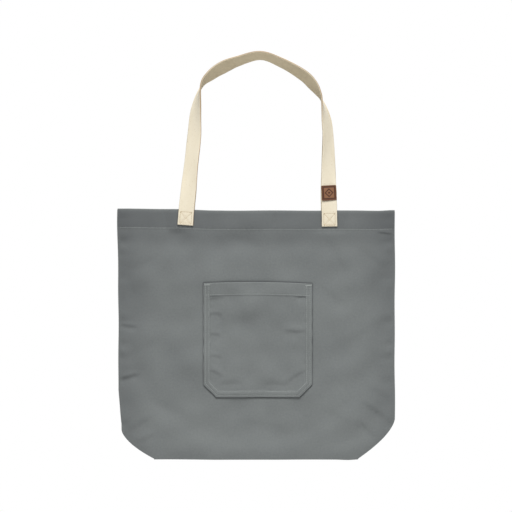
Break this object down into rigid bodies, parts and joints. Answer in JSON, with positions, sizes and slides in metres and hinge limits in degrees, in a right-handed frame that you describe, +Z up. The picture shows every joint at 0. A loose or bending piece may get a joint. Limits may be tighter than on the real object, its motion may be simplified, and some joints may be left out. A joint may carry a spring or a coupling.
{
  "type": "tote bag",
  "caption": "Flat-hanging canvas tote bag with two webbing shoulder handles, a chamfered patch pocket, a folded-in boxed base and a small leather tab.",
  "frame": {"origin": "bottom centre of the whole bag: middle of its width, middle of its depth, lowest edge of the bottom fold", "axes": "+Z up towards the handles, +X to the right seen from the pocket side, the pocket side faces -Y"},
  "size_m": [0.453, 0.0616, 0.6683],
  "materials": {
    "canvas": "matte plain-woven grey cotton canvas",
    "seam_binding": "matte overlocked grey canvas edge",
    "thread": "satin pale grey sewing thread",
    "webbing": "matte natural cotton webbing",
    "leather": "semi-matte brown leather"
  },
  "bodies": {
    "front": {"front_panel": "canvas", "front_hem": "canvas", "front_hem_stitching": "thread", "pocket_panel": "canvas", "pocket_hem": "canvas", "pocket_stitching": "thread", "pocket_hem_stitching": "thread", "pocket_bartacks": "thread", "front_handle_end_left": "webbing", "front_handle_end_right": "webbing", "front_handle_stitching": "thread"},
    "front_handle": {"front_handle": "webbing", "leather_label": "leather", "label_stitching": "thread"},
    "back_handle": {"back_handle": "webbing"},
    "bag": {"back_panel": "canvas", "back_hem": "canvas", "back_hem_stitching": "thread", "back_handle_end_left": "webbing", "back_handle_end_right": "webbing", "back_handle_stitching": "thread", "base_front_half": "canvas", "base_back_half": "canvas", "base_seam": "seam_binding", "left_side_seam": "seam_binding", "right_side_seam": "seam_binding", "left_corner_seam": "seam_binding", "right_corner_seam": "seam_binding", "left_front_tuck": "canvas", "left_back_tuck": "canvas", "right_front_tuck": "canvas", "right_back_tuck": "canvas"}
  },
  "joints": [
    {"name": "mouth_open", "type": "hinge", "parent": "bag", "child": "front", "pos_m": [0, -0.0155, 0], "axis": [1, 0, 0], "range_deg": [0, 8]},
    {"name": "front_handle_swing", "type": "hinge", "parent": "front", "child": "front_handle", "pos_m": [0, -0.0218, 0.407], "axis": [1, 0, 0], "range_deg": [0, 155]},
    {"name": "back_handle_swing", "type": "hinge", "parent": "bag", "child": "back_handle", "pos_m": [0, 0.0218, 0.407], "axis": [1, 0, 0], "range_deg": [-155, 0]}
  ]
}
